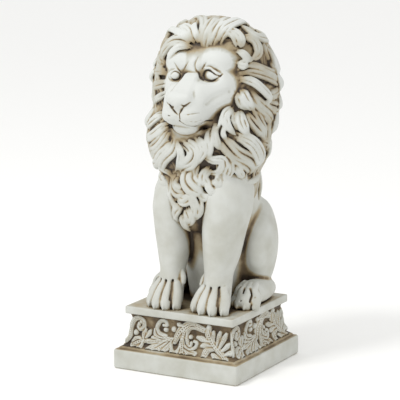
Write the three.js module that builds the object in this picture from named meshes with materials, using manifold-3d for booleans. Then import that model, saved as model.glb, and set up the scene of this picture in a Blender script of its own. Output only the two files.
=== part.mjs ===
// A seated garden lion cast in one piece with its square plinth, in a pale antique stone finish.
// Millimetres, +Z up. The lion looks along -Y, and its left side is at +X.
// The origin is the centre of the underside.

import * as THREE from 'three';
import { mergeVertices } from 'three/addons/utils/BufferGeometryUtils.js';
import Module from 'manifold-3d';

const wasm = await Module();
wasm.setup();

// Plinth sizes
const baseWidth = 288;
const baseHeight = 41;
const slabWidth = 252;
const slabHeight = 16;
const friezeHeight = 69;
const ledgeHeight = 5;
const ledgeInset = 9;
const edgeRounding = 4;
const reliefHeight = 9;
const scrollWidth = 7;
const lobeWidth = 6;
const lobeSpread = 48;

// Lion sizes. The figure is drawn 594 units tall, and its forms are shares of that height.
const lionHeight = 594;
const drawnHeight = 594;
const bodyOffset = 5;
const pawSink = 4;

const plinthHeight = baseHeight + ledgeHeight + friezeHeight + slabHeight;
const friezeFoot = baseHeight + ledgeHeight;
// The frieze's hollow profile: shares of its height, and how far it stands in from the slab's edge.
const friezeProfile = [[0, -6], [0.08, 2], [0.25, 7], [0.55, 12], [0.9, 11], [1, 8]];

const stone = new THREE.MeshStandardMaterial({ color: 0xd9d8cf, roughness: 0.8, metalness: 0 });

// A repeatable random number from 0 to 1 for a whole number.
function chance(seed) {
  const wave = Math.sin(seed * 127.1 + 311.7) * 43758.5453;
  return wave - Math.floor(wave);
}

function solidFrom(positions, triangles) {
  return new wasm.Manifold(new wasm.Mesh({
    numProp: 3,
    vertProperties: new Float32Array(positions),
    triVerts: new Uint32Array(triangles),
  }));
}

function solidOf(geometry) {
  geometry.deleteAttribute('normal');
  geometry.deleteAttribute('uv');
  const merged = mergeVertices(geometry, 1e-4);
  return solidFrom(merged.attributes.position.array, merged.index.array);
}

// Skins rings of points, which run anticlockwise seen from the last ring, between two end points.
function skin(rings, firstPoint, lastPoint) {
  const sides = rings[0].length;
  const positions = rings.flat().concat([firstPoint, lastPoint]).flatMap((p) => p.toArray());
  const first = rings.length * sides;
  const last = first + 1;
  const triangles = [];
  for (let j = 0; j < sides; j++) {
    const next = (j + 1) % sides;
    triangles.push(first, next, j);
    for (let i = 0; i + 1 < rings.length; i++) {
      const a = i * sides;
      const b = a + sides;
      triangles.push(a + j, a + next, b + next, a + j, b + next, b + j);
    }
    const top = (rings.length - 1) * sides;
    triangles.push(top + j, top + next, last);
  }
  return solidFrom(positions, triangles);
}

const point = (x, y, z) => new THREE.Vector3(x, y, z);
const radians = THREE.MathUtils.degToRad;

function centreOf(ring) {
  return ring.reduce((sum, p) => sum.add(p), point(0, 0, 0)).divideScalar(ring.length);
}

// An ellipsoid, turned by an angle about X, then by one about Z, in degrees.
function ball([x, y, z], [rx, ry, rz], { pitch = 0, yaw = 0, around = 12, down = 8 } = {}) {
  const geometry = new THREE.SphereGeometry(1, around, down);
  geometry.rotateX(Math.PI / 2);
  geometry.scale(rx, ry, rz);
  geometry.rotateX(THREE.MathUtils.degToRad(pitch));
  geometry.rotateZ(THREE.MathUtils.degToRad(yaw));
  geometry.translate(x, y, z);
  return solidOf(geometry);
}

// A stack of level ellipses, each given as [z, centre x, centre y, half width, half depth].
function column(stations, sides = 14) {
  const rings = stations.map(([z, cx, cy, rx, ry]) => Array.from({ length: sides }, (_, j) => {
    const angle = (2 * Math.PI * (j + 0.5)) / sides;
    return point(cx + rx * Math.cos(angle), cy + ry * Math.sin(angle), z);
  }));
  return skin(rings, centreOf(rings[0]), centreOf(rings[rings.length - 1]));
}

// A limb through balls, each given as [x, y, z, radius]. It starts flat and ends round.
function chain(balls, { sides = 8, flat = 1 } = {}) {
  const centres = balls.map(([x, y, z]) => point(x, y, z));
  const last = balls.length - 1;
  const along = (i) => {
    const before = centres[Math.max(i - 1, 0)];
    const after = centres[Math.min(i + 1, last)];
    return after.clone().sub(before).normalize();
  };
  const ringAt = (i, shift, share) => {
    const t = along(i);
    const side = Math.abs(t.x) < 0.9 ? point(1, 0, 0) : point(0, 1, 0);
    const a = side.sub(t.clone().multiplyScalar(side.dot(t))).normalize();
    const b = t.clone().cross(a);
    const r = balls[i][3];
    const middle = centres[i].clone().addScaledVector(t, shift * r);
    return Array.from({ length: sides }, (_, j) => {
      const angle = (2 * Math.PI * j) / sides;
      return middle.clone()
        .addScaledVector(a, share * r * Math.cos(angle))
        .addScaledVector(b, share * r * flat * Math.sin(angle));
    });
  };
  const rings = balls.map((_, i) => ringAt(i, 0, 1));
  rings.push(ringAt(last, 0.7, 0.7));
  const end = centres[last].clone().addScaledVector(along(last), balls[last][3]);
  return skin(rings, centres[0], end);
}

// A lock or lobe along points that each have an outward normal. Its section, given as pairs of
// [across, out], is scaled by a width and a thickness that follow the share of the way along.
function wisp(points, normals, section, widthAt, thicknessAt) {
  const rings = [];
  for (let i = 1; i + 1 < points.length; i++) {
    const t = points[i + 1].clone().sub(points[i - 1]).normalize();
    const n = normals[i].clone().sub(t.clone().multiplyScalar(normals[i].dot(t))).normalize();
    const b = t.clone().cross(n);
    const share = i / (points.length - 1);
    rings.push(section.map(([across, out]) => points[i].clone()
      .addScaledVector(b, widthAt(share) * across)
      .addScaledVector(n, thicknessAt(share) * out)));
  }
  return skin(rings, points[0], points[points.length - 1]);
}

const union = (solids) => wasm.Manifold.union(solids);

// Roughly how far a point lies outside balls, each [centre, radii], that blend where they meet.
function outside(balls, blend, p) {
  return balls.reduce((blended, [[cx, cy, cz], [rx, ry, rz]]) => {
    const reach = Math.hypot((p.x - cx) / rx, (p.y - cy) / ry, (p.z - cz) / rz);
    const gap = (reach - 1) * Math.min(rx, ry, rz);
    const overlap = Math.max(blend - Math.abs(blended - gap), 0) / blend;
    return Math.min(blended, gap) - 0.25 * blend * overlap * overlap;
  }, 1e3);
}

// The blended skin of balls as a globe whose points slide out from a centre until they lie on it.
// Its pole faces forward.
function globe([cx, cy, cz], balls, blend, around, down) {
  const geometry = new THREE.SphereGeometry(1, around, down);
  geometry.rotateX(Math.PI / 2);
  geometry.rotateX(Math.PI / 2);
  const places = geometry.attributes.position;
  for (let i = 0; i < places.count; i++) {
    const ray = new THREE.Vector3().fromBufferAttribute(places, i).normalize();
    const p = point(cx, cy, cz).addScaledVector(ray, 10);
    for (let k = 0; k < 40; k++) {
      p.addScaledVector(ray, -0.8 * outside(balls, blend, p));
    }
    places.setXYZ(i, p.x, p.y, p.z);
  }
  return solidOf(geometry);
}

// Mirrors a drawn point to the given side of the lion.
const sided = (side, [x, ...rest]) => [side * x, ...rest];

// Trunk, from the slab up into the mane.
function trunk() {
  return column([
    [-pawSink, 0, 45, 58, 70],
    [60, 0, 48, 70, 76],
    [140, 0, 38, 84, 84],
    [205, 0, 22, 92, 94],
    [270, 0, 4, 97, 97],
    [320, 0, 0, 90, 90],
  ], 14);
}

// A thigh seen from the side as a tall egg, with the rump behind it.
function haunch(side) {
  return union([
    ball(sided(side, [92, 54, 124]), [30, 50, 62], { around: 11, down: 8 }),
    ball(sided(side, [56, 70, 95]), [58, 50, 92], { around: 8, down: 6 }),
  ]);
}

function hindFoot(side) {
  return chain([
    sided(side, [92, 100, 18, 12]),
    sided(side, [92, 80, 22, 23]),
    sided(side, [96, 40, 24, 25]),
    sided(side, [96, 2, 27, 26]),
    sided(side, [97, -12, 24, 24]),
  ], { sides: 7 });
}

// One toe with its claw, from the back of the paw over the knuckle and down to the slab.
function toe(root, knuckle, tip, girth) {
  const [x, y, z] = tip;
  const hook = new THREE.ConeGeometry(0.4 * girth, 1.5 * girth, 4);
  hook.rotateX(-0.8 * Math.PI);
  hook.translate(x, y - 0.85 * girth, z - 2);
  const claw = solidOf(hook);
  const digit = chain([
    [...root, 0.9 * girth],
    [...knuckle, girth],
    [x, y, z - 2, 0.95 * girth],
  ], { sides: 5 });
  return digit.add(claw);
}

// Four toes fanned out in front of a wrist or an instep.
function toes(x, back, front, spread, rise, girth) {
  const fan = [-1, -0.36, 0.36, 1];
  return union(fan.map((f) => {
    const setBack = 13 * f * f;
    return toe(
      [x + 0.62 * f * spread, back + 0.6 * setBack, rise],
      [x + 0.9 * f * spread, front + 13 + setBack, 0.66 * rise],
      [x + f * spread, front + 4 + setBack, 0.34 * rise],
      girth,
    );
  }));
}

// A foreleg: one upper column and one paw. Girth tells the near leg from the slighter far one.
function foreleg(side) {
  const girth = side > 0 ? 1.06 : 0.94;
  const x = side > 0 ? 55 : -52;
  const leg = column([
    [10, x, -74, 29 * girth, 24 * girth],
    [48, x, -68, 28 * girth, 29 * girth],
    [75, x, -62, 27 * girth, 31 * girth],
    [112, x + 2 * side, -53, 35 * girth, 41 * girth],
    [160, x + 5 * side, -49, 41 * girth, 48 * girth],
    [205, x + 8 * side, -40, 46 * girth, 58 * girth],
    [245, x + 6 * side, -30, 46 * girth, 62 * girth],
    [285, x, -18, 38 * girth, 55 * girth],
  ], 12);
  const dewclaw = chain([
    [x - side * 24 * girth, -66, 66, 7],
    [x - side * 29 * girth, -70, 54, 6.5],
    [x - side * 30 * girth, -74, 44, 2],
  ], { sides: 5 });
  return union([leg, dewclaw, toes(x, -80, -119, 30 * girth + 1, 44, 11)]);
}

// The tail lies on the slab behind the rump and ends in a tuft beside the lion's right heel.
function tail() {
  return union([
    chain([
      [0, 100, 62, 13],
      [6, 112, 34, 11],
      [0, 108, 12, 10],
      [-40, 109, 9, 9],
      [-78, 106, 9, 9],
    ], { sides: 7 }),
    ball([-94, 100, 9], [26, 13, 12], { yaw: -14, around: 10, down: 6 }),
  ]);
}

// The head's balls, each [centre, radii], which its skin blends. The whole head is measured from the
// level of the eyes, and so is the rim where the mane starts.
const headBalls = [
  [[0, -4, -4], [84, 62, 72]],
  [[-35, -42, 26], [37, 29, 25]],
  [[35, -42, 26], [37, 29, 25]],
  [[-50, -43, -33], [33, 37, 46]],
  [[50, -43, -33], [33, 37, 46]],
  [[-25, -78, -43], [30, 36, 40]],
  [[25, -78, -43], [30, 36, 40]],
  [[0, -58, -80], [48, 44, 32]],
  [[0, -94, -69], [38, 33, 34]],
  [[0, -64, 4], [19, 18, 22]],
  [[0, -78, -10], [21, 20, 21]],
  [[0, -94, -23], [23, 20, 19]],
  [[0, -110, -35], [26, 20, 17]],
];
const headBlend = 10;
const eyeSpread = 42;
const eyeHeight = 482;

function head() {
  const sides = [-1, 1];
  const skull = globe([0, -55, -30], headBalls, headBlend, 20, 18);
  const sockets = union(sides.map((side) => ball([side * (eyeSpread + 1), -84, 0], [23, 16, 12], {
    yaw: side * 22, around: 8, down: 6,
  })));
  const eyes = union(sides.map((side) => union([
    ball([side * eyeSpread, -61, 0], [17, 13, 12], { around: 8, down: 6 }),
    chain([
      [side * (eyeSpread - 20), -72, -6, 3],
      [side * (eyeSpread - 8), -73, 9, 5],
      [side * (eyeSpread + 8), -65, 9, 5],
      [side * (eyeSpread + 22), -52, 0, 3],
    ], { sides: 5 }),
    chain([
      [side * (eyeSpread - 15), -72, -10, 4],
      [side * eyeSpread, -68, -14, 5],
      [side * (eyeSpread + 18), -55, -7, 4],
    ], { sides: 5 }),
    chain([
      [side * (eyeSpread - 32), -50, 12, 5],
      [side * (eyeSpread - 26), -64, 17, 7],
      [side * (eyeSpread - 6), -64, 26, 8],
      [side * (eyeSpread + 16), -46, 21, 7],
    ], { sides: 6 }),
  ])));
  const nose = ball([0, -120, -43], [28, 17, 16], { around: 10, down: 6 });
  const mouth = union(sides.map((side) => chain([
    [0, -132, -86, 2.5],
    [side * 10, -133, -93, 3],
    [side * 32, -122, -98, 3],
    [side * 54, -88, -87, 3],
  ], { sides: 4 })));
  const chin = ball([0, -84, -100], [27, 24, 18], { around: 8, down: 5 });
  const pads = union(sides.map((side) => ball([side * 18, -108, -74], [23, 24, 20], {
    around: 8, down: 7,
  })));
  const nostrils = union(sides.map((side) => ball([side * 9, -136, -51], [6, 7, 4], {
    around: 6, down: 4,
  })));
  return union([skull.subtract(sockets), eyes, nose, pads, chin])
    .subtract(union([mouth, nostrils]))
    .translate([0, 0, eyeHeight]);
}

// The smooth mass under the mane's locks: overlapping balls, each [centre, radii].
const maneMass = [
  [[0, 20, 522], [104, 74, 60]],
  [[0, 27, 440], [126, 97, 138]],
  [[0, -4, 345], [122, 98, 100]],
  [[0, 8, 240], [94, 90, 110]],
  [[0, -62, 232], [42, 34, 66]],
];
const massBlend = 18;

const outsideMass = (p) => outside(maneMass, massBlend, p);

function massNormal(p) {
  const step = 0.5;
  const slope = ['x', 'y', 'z'].map((axis) => {
    const ahead = p.clone();
    const behind = p.clone();
    ahead[axis] += step;
    behind[axis] -= step;
    return (outsideMass(ahead) - outsideMass(behind)) / (2 * step);
  });
  return point(...slope);
}

// Moves a point straight onto the surface of the mass.
function settle(p) {
  const settled = p.clone();
  for (let i = 0; i < 5; i++) {
    const slope = massNormal(settled);
    const steepness = Math.max(slope.lengthSq(), 0.05);
    settled.addScaledVector(slope, -outsideMass(settled) / steepness);
  }
  return settled;
}

// The hair flows from the rim of the face, over the widest part of the mane, to the hem on the
// shoulders and the chest. Turn runs round the face: 0 over the forehead, 90 on the lion's left
// and 180 at the throat. Near the parting the flow starts close together and sweeps outwards.
const rimSpread = 82;
const rimAbove = 78;
const rimBelow = 112;
const rimDrop = 18;
const partingSweep = 24;
const bibDrop = 62;
const bibHalfTurn = 34;

function flow(turn, share) {
  const round = ((turn + 540) % 360) - 180;
  const over = Math.abs(round) < 90 ? partingSweep * Math.sin(radians(2 * round)) : 0;
  const start = radians(round - over);
  const t = radians(round);
  const rimReach = Math.cos(start) > 0 ? rimAbove : rimBelow;
  const rimHeight = eyeHeight - rimDrop + rimReach * Math.cos(start);
  const rim = point(rimSpread * Math.sin(start), -44 + 14 * Math.cos(start), rimHeight);
  const widest = point(128 * Math.sin(t), 2 + 103 * Math.cos(t), 420 + 100 * Math.cos(t));
  const fromThroat = Math.max(1 - (180 - Math.abs(round)) / bibHalfTurn, 0);
  const hem = point(100 * Math.sin(t), 95 * Math.cos(t), 236 - bibDrop * fromThroat ** 0.8);
  const guide = widest.clone().multiplyScalar(2).addScaledVector(rim, -0.5).addScaledVector(hem, -0.5);
  return settle(rim.clone().multiplyScalar((1 - share) ** 2)
    .addScaledVector(guide, 2 * share * (1 - share))
    .addScaledVector(hem, share ** 2));
}

// Locks lie in rings like tiles, each row's tips over the roots of the next. A row is given by the
// shares of the flow where it starts and ends, and by the height of its locks.
const locksRound = 18;
const maneRows = [
  [0, 0.15, 12],
  [0.15, 0.35, 17],
  [0.35, 0.57, 18],
  [0.57, 0.79, 17],
  [0.79, 1, 12],
];
// Along a lock: its share, its height at the outer groove, at the two ridges and at the strand
// groove between them, and how far the ridges have drawn together.
const lockProfile = [
  [0.04, -0.4, 0, -0.1, 0],
  [0.3, -0.3, 0.85, 0.5, 0],
  [0.64, -0.35, 1, 0.7, 0.25],
  [0.99, -0.5, 0.45, 0.5, 0.8],
];
const lockSway = 0.75;

function mane() {
  const columns = 4 * locksRound;
  const rings = maneRows.flatMap(([from, to, height], row) => (
    lockProfile.map(([along, groove, crest, strand, taper]) => Array.from({ length: columns }, (_, j) => {
      const column = (j + 2 * (row % 2)) % columns;
      const cell = Math.floor(column / 4);
      const kind = column % 4;
      const luck = chance(29 * row + 3 * cell);
      const side = j < columns / 2 ? 1 : -1;
      const wave = side * (row % 2 ? -1 : 1) * Math.sin(2 * Math.PI * along);
      const sway = lockSway * wave * Math.abs(Math.sin((2 * Math.PI * j) / columns)) ** 0.3;
      const drift = kind === 0 ? 0 : 0.7 * (luck - 0.5);
      const draw = [0, taper, 0, -taper][kind];
      const lift = height * [groove, crest, strand, 0.85 * crest][kind];
      const reach = along * (1 + (kind === 0 ? 0 : 0.25 * (luck - 0.5)));
      const share = THREE.MathUtils.clamp(from + reach * (to - from), 0, 1);
      const turn = (360 * (j + sway + drift + draw)) / columns;
      const seat = flow(turn, share);
      return seat.addScaledVector(massNormal(seat).normalize(), lift);
    }))
  ));
  return skin(rings, point(0, -30, eyeHeight - rimDrop), point(0, 0, 250));
}

const centred = (solid) => solid.translate([bodyOffset, 0, 0]);

function lion() {
  const sides = [-1, 1];
  const figure = union([
    trunk(),
    ...sides.map(haunch),
    ...sides.map(hindFoot),
    ...sides.map((side) => toes(side * 97, -16, -43, 24, 34, 10)),
    ...sides.map(foreleg),
    tail(),
    head(),
    mane(),
  ]);
  const scale = lionHeight / drawnHeight;
  return centred(figure).scale([scale, scale, scale]).translate([0, 0, plinthHeight]);
}

// Half the width across the frieze's ground at a share of its height.
function friezeHalf(share) {
  const above = Math.max(friezeProfile.findIndex(([at]) => at >= share), 1);
  const [lowAt, lowInset] = friezeProfile[above - 1];
  const [highAt, highInset] = friezeProfile[above];
  const inset = THREE.MathUtils.mapLinear(share, lowAt, highAt, lowInset, highInset);
  return slabWidth / 2 - inset;
}

// A place on the frieze's front face: u runs from -1 to 1 across it, and v from 0 to 1 up it.
function onFrieze(u, v, lift) {
  const share = THREE.MathUtils.clamp(v, 0, 1);
  const half = friezeHalf(share);
  return point(u * half, -half - lift, friezeFoot + share * friezeHeight);
}

// A raised ridge on the frieze through [u, v] points, each end tapering to a point.
const ridgeSection = [[-1, -0.35], [0, 1], [1, -0.35]];
function ridge(route, width) {
  const points = route.map(([u, v]) => onFrieze(u, v, 0));
  const normals = points.map(() => point(0, -1, 0));
  const swell = (share) => Math.sin(Math.PI * (0.2 + 0.7 * share));
  return wisp(points, normals, ridgeSection, (share) => width * swell(share),
    (share) => reliefHeight * swell(share));
}

const acrossUnit = (2 * friezeHeight) / slabWidth;

// A scroll that winds in from a large radius to a small one, in shares of the frieze's height.
function scroll([u, v], { from, to, outer, inner }) {
  const steps = 7;
  return ridge(Array.from({ length: steps }, (_, i) => {
    const share = i / (steps - 1);
    const angle = radians(from + (to - from) * share);
    const reach = outer + (inner - outer) * share;
    return [u + acrossUnit * reach * Math.cos(angle), v + reach * Math.sin(angle)];
  }), scrollWidth);
}

// An acanthus leaf: pairs of lobes along a midrib that leaves its root at an angle.
function acanthus(root, { angle, length, pairs }) {
  const stepOut = ([u, v], turn, reach) => [
    u + acrossUnit * reach * Math.cos(radians(turn)),
    v + reach * Math.sin(radians(turn)),
  ];
  const lobe = (from, turn, reach) => ridge([
    from,
    stepOut(from, turn, 0.65 * reach),
    stepOut(from, turn, reach),
  ], lobeWidth);
  const lobes = Array.from({ length: pairs }, (_, i) => {
    const share = i / pairs;
    const from = stepOut(root, angle, share * length);
    const reach = length * (0.3 + 0.28 * Math.sin(Math.PI * (0.25 + 0.7 * share)));
    return [-1, 1].map((side) => lobe(from, angle + side * lobeSpread, reach));
  });
  return union([lobe(root, angle, length), ...lobes.flat()]);
}

// One face of the frieze: scrolls and acanthus leaves that run from the left corner to the right.
function friezeFace() {
  return union([
    scroll([-0.8, 0.62], { from: 235, to: -60, outer: 0.33, inner: 0.14 }),
    acanthus([-0.8, 0.24], { angle: -8, length: 0.42, pairs: 1 }),
    scroll([-0.4, 0.66], { from: 200, to: -60, outer: 0.25, inner: 0.09 }),
    acanthus([-0.52, 0.26], { angle: 8, length: 0.72, pairs: 2 }),
    scroll([0.2, 0.5], { from: 235, to: -90, outer: 0.42, inner: 0.16 }),
    acanthus([0.04, 0.72], { angle: 165, length: 0.4, pairs: 1 }),
    acanthus([0.26, 0.2], { angle: -10, length: 0.42, pairs: 1 }),
    acanthus([0.92, 0.14], { angle: 140, length: 0.94, pairs: 4 }),
    acanthus([0.96, 0.42], { angle: 88, length: 0.5, pairs: 1 }),
  ]);
}

function frieze() {
  const face = friezeFace();
  return union([0, 90, 180, 270].map((turn) => face.rotate([0, 0, turn])));
}

function plinth() {
  const square = (z, half) => [z, 0, 0, half * Math.SQRT2, half * Math.SQRT2];
  const base = baseWidth / 2;
  const slab = slabWidth / 2;
  const ledge = base - ledgeInset;
  return column([
    square(0, base - edgeRounding / 2),
    square(edgeRounding, base),
    square(baseHeight - edgeRounding, base),
    square(baseHeight, base - edgeRounding),
    square(baseHeight + 0.5, ledge),
    ...friezeProfile.map(([share]) => square(friezeFoot + share * friezeHeight, friezeHalf(share))),
    square(friezeFoot + friezeHeight + 0.5, slab),
    square(plinthHeight - 1.5, slab),
    square(plinthHeight, slab - 1.5),
  ], 4);
}

function meshFrom(solid) {
  const { numProp, vertProperties, triVerts } = solid.getMesh();
  const positions = [];
  for (let i = 0; i < vertProperties.length; i += numProp) {
    positions.push(vertProperties[i], vertProperties[i + 1], vertProperties[i + 2]);
  }
  const geometry = new THREE.BufferGeometry();
  geometry.setAttribute('position', new THREE.Float32BufferAttribute(positions, 3));
  geometry.setIndex([...triVerts]);
  geometry.computeVertexNormals();
  return geometry;
}

// The casting is solid, so pockets that the joined forms close off inside are filled.
function filled(solid) {
  return union(solid.decompose().filter((body) => body.volume() > 0));
}

const statue = new THREE.Mesh(meshFrom(filled(union([plinth(), frieze(), lion()]))), stone);
statue.name = 'lion_on_plinth';

const group = new THREE.Group();
group.add(statue);

export default group;
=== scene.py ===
# A seated garden lion cast in one piece with its square plinth, toned like old stone, with painted shade in
# its broad hollows, between its locks and lower down.
# The figure is sculpted as distance fields in millimetres, then skinned and moved to metres.
import math

import bpy
import numpy as np
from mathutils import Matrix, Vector


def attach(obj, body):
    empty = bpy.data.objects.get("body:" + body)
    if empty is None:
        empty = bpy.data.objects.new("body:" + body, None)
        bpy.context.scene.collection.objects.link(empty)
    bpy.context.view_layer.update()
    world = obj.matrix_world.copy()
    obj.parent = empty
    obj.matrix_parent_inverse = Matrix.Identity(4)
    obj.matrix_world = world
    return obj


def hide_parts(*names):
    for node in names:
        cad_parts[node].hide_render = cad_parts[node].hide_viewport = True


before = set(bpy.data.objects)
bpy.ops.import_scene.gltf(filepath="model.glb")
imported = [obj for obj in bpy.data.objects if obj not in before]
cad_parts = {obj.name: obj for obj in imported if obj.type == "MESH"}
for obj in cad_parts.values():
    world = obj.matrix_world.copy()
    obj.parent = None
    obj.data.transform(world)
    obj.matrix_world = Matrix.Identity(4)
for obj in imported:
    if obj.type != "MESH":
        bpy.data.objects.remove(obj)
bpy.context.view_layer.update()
mm = 0.001
farOut = 50.0  # a distance in mm that is far outside every form
farAway = 1e3
windowMargin = 3  # how far past a form, in mm, its distances are worked out

stand = {
    "baseWidth": 288,
    "baseHeight": 41,
    "ledgeHeight": 5,
    "ledgeInset": 9,
    "ledgeRoot": 20,  # it starts this high inside the base
    "friezeHeight": 69,
    "slabWidth": 252,
    "slabHeight": 16,
    "softEdge": 4,
    "ledgeEdge": 2,
    "slabEdge": 1.8,
    "grid": ([-147, -147, -3], [147, 147, 134], 1.75),
}
slabTop = stand["baseHeight"] + stand["ledgeHeight"] + stand["friezeHeight"] + stand["slabHeight"]
bodyOffset = 5  # the lion sits this far to its left of the plinth's centre
pawSink = 4
lionPlace = [bodyOffset, 0, slabTop]

# The photograph's line of sight, found from the plinth's edges; the picture is 400 x 400 pixels
view = {
    "turn": 28.48,
    "rise": 11.10,
    "distance": 4.0,
    "lens": 173.66,
    "sensor": 36,
    "aside": -0.0154,
    "height": 0.3441,
    "picture": 400,
}


def viewAxes():
    turn, rise = math.radians(view["turn"]), math.radians(view["rise"])
    back = Vector((math.sin(turn) * math.cos(rise), -math.cos(turn) * math.cos(rise), math.sin(rise)))
    right = Vector((math.cos(turn), math.sin(turn), 0))
    target = Vector((view["aside"] * right.x, view["aside"] * right.y, view["height"]))
    return target + view["distance"] * back, right, back.cross(right), back


def chance(seed):  # a repeatable number from 0 to 1
    wave = math.sin(seed * 127.1 + 311.7) * 43758.5453
    return wave - math.floor(wave)


# Distance fields

class Block:
    def __init__(self, low, high, step):
        self.low = np.array(low, dtype=np.float32)
        self.step = step
        self.axes = [np.arange(a, b + step, step, dtype=np.float32) for a, b in zip(low, high)]
        self.values = np.full([len(axis) for axis in self.axes], farOut, dtype=np.float32)

    def window(self, low, high):
        spans = []
        for axis, start, a, b in zip(self.axes, self.low, low, high):
            first = max(int((a - start) / self.step), 0)
            last = min(int((b - start) / self.step) + 2, len(axis))
            if first >= last:
                return None
            spans.append(slice(first, last))
        return tuple(spans)

    def places(self, spans):
        x, y, z = (axis[span] for axis, span in zip(self.axes, spans))
        return x[:, None, None], y[None, :, None], z[None, None, :]

    def join(self, form, softness, sign=1):  # a sign of -1 takes the form away
        low, high, distance = form
        reach = softness + windowMargin
        spans = self.window(np.array(low) - reach, np.array(high) + reach)
        if spans:
            here = sign * self.values[spans]
            self.values[spans] = sign * softMin(here, distance(*self.places(spans)), softness)

    def carve(self, form, softness):
        self.join(form, softness, -1)

    def joinStrand(self, points, radii, softness):  # one strand of limbs, with no bulge where they meet
        reach = softness + windowMargin
        most = max(radii) + reach
        spans = self.window(points.min(axis=0) - most, points.max(axis=0) + most)
        if not spans:
            return
        own = np.full(self.values[spans].shape, farOut, dtype=np.float32)
        for k in range(len(points) - 1):
            low, high, distance = limb(points[k], points[k + 1], radii[k], radii[k + 1])
            part = self.window(low - reach, high + reach)
            if part:
                inner = tuple(slice(a.start - b.start, a.stop - b.start) for a, b in zip(part, spans))
                own[inner] = np.minimum(own[inner], distance(*self.places(part)))
        self.values[spans] = softMin(self.values[spans], own, softness)


def softMin(a, b, softness):
    overlap = np.maximum(softness - np.abs(a - b), 0) / softness
    return np.minimum(a, b) - 0.25 * softness * overlap * overlap


def egg(centre, radii, pitch=0, yaw=0):  # an ellipsoid, turned about X, then about Z
    centre = np.array(centre, dtype=float)
    p, w = math.radians(pitch), math.radians(yaw)
    aboutX = np.array([[1, 0, 0], [0, math.cos(p), -math.sin(p)], [0, math.sin(p), math.cos(p)]])
    aboutZ = np.array([[math.cos(w), -math.sin(w), 0], [math.sin(w), math.cos(w), 0], [0, 0, 1]])
    turn = aboutZ @ aboutX
    reach = np.sqrt((turn ** 2) @ (np.array(radii, dtype=float) ** 2))

    def distance(x, y, z):
        dx, dy, dz = x - centre[0], y - centre[1], z - centre[2]
        total = 0
        for axis in range(3):
            along = turn[0, axis] * dx + turn[1, axis] * dy + turn[2, axis] * dz
            total = total + (along / radii[axis]) ** 2
        return ((np.sqrt(total) - 1) * min(radii)).astype(np.float32)

    return centre - reach, centre + reach, distance


def limb(a, b, ra, rb):  # a straight round limb between two balls
    a, b = np.array(a, dtype=float), np.array(b, dtype=float)
    run = b - a
    length2 = max(float(run @ run), 1e-6)

    def distance(x, y, z):
        dx, dy, dz = x - a[0], y - a[1], z - a[2]
        t = np.clip((dx * run[0] + dy * run[1] + dz * run[2]) / length2, 0, 1)
        gap = np.sqrt((dx - t * run[0]) ** 2 + (dy - t * run[1]) ** 2 + (dz - t * run[2]) ** 2)
        return (gap - (ra + (rb - ra) * t)).astype(np.float32)

    reach = max(ra, rb)
    return np.minimum(a, b) - reach, np.maximum(a, b) + reach, distance


def cord(points, radii):  # limbs end to end through points
    points = np.array(points, dtype=float)
    radii = np.broadcast_to(radii, len(points))
    parts = [limb(*pair) for pair in zip(points[:-1], points[1:], radii[:-1], radii[1:])]
    low = np.min([part[0] for part in parts], axis=0)
    high = np.max([part[1] for part in parts], axis=0)

    def distance(x, y, z):
        nearest = parts[0][2](x, y, z)
        for part in parts[1:]:
            nearest = np.minimum(nearest, part[2](x, y, z))
        return nearest

    return low, high, distance


def smoothPath(points, steps):  # a smooth path through given points
    points = np.array(points, dtype=float)
    padded = np.vstack([2 * points[0] - points[1], points, 2 * points[-1] - points[-2]])
    path = []
    for i in range(1, len(padded) - 2):
        p0, p1, p2, p3 = padded[i - 1:i + 3]
        for k in range(steps):
            t = k / steps
            path.append(0.5 * (2 * p1 + (p2 - p0) * t + (2 * p0 - 5 * p1 + 4 * p2 - p3) * t * t
                               + (3 * p1 - p0 - 3 * p2 + p3) * t ** 3))
    path.append(points[-1])
    return np.array(path)


def tube(balls, steps=4):  # a smooth limb through [x, y, z, radius] balls
    path = smoothPath(balls, steps)
    return cord(path[:, :3], path[:, 3])


def smoothed(line, reach):  # a line with its corners rounded off
    kernel = np.hanning(reach * 2 + 1)
    return np.convolve(np.pad(line, reach, mode="edge"), kernel / kernel.sum(), mode="valid")


def column(stations, softening=14):  # level ellipses, each [z, centre x, centre y, half width, half depth]
    stations = np.array(stations, dtype=float)
    z = np.arange(stations[0, 0] - 30, stations[-1, 0] + 30, 1.0)
    smooth = [smoothed(np.interp(z, stations[:, 0], stations[:, k]), softening) for k in range(1, 5)]
    bottom, top = stations[0, 0], stations[-1, 0]

    def distance(x, y, zz):
        cx, cy, rx, ry = (np.interp(zz.ravel(), z, line)[None, None, :] for line in smooth)
        gap = (np.sqrt(((x - cx) / rx) ** 2 + ((y - cy) / ry) ** 2) - 1) * np.minimum(rx, ry)
        return np.maximum(gap, np.maximum(bottom - zz, zz - top)).astype(np.float32)

    low = [np.min(stations[:, 1] - stations[:, 3]), np.min(stations[:, 2] - stations[:, 4]), bottom]
    high = [np.max(stations[:, 1] + stations[:, 3]), np.max(stations[:, 2] + stations[:, 4]), top]
    return low, high, distance


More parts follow.
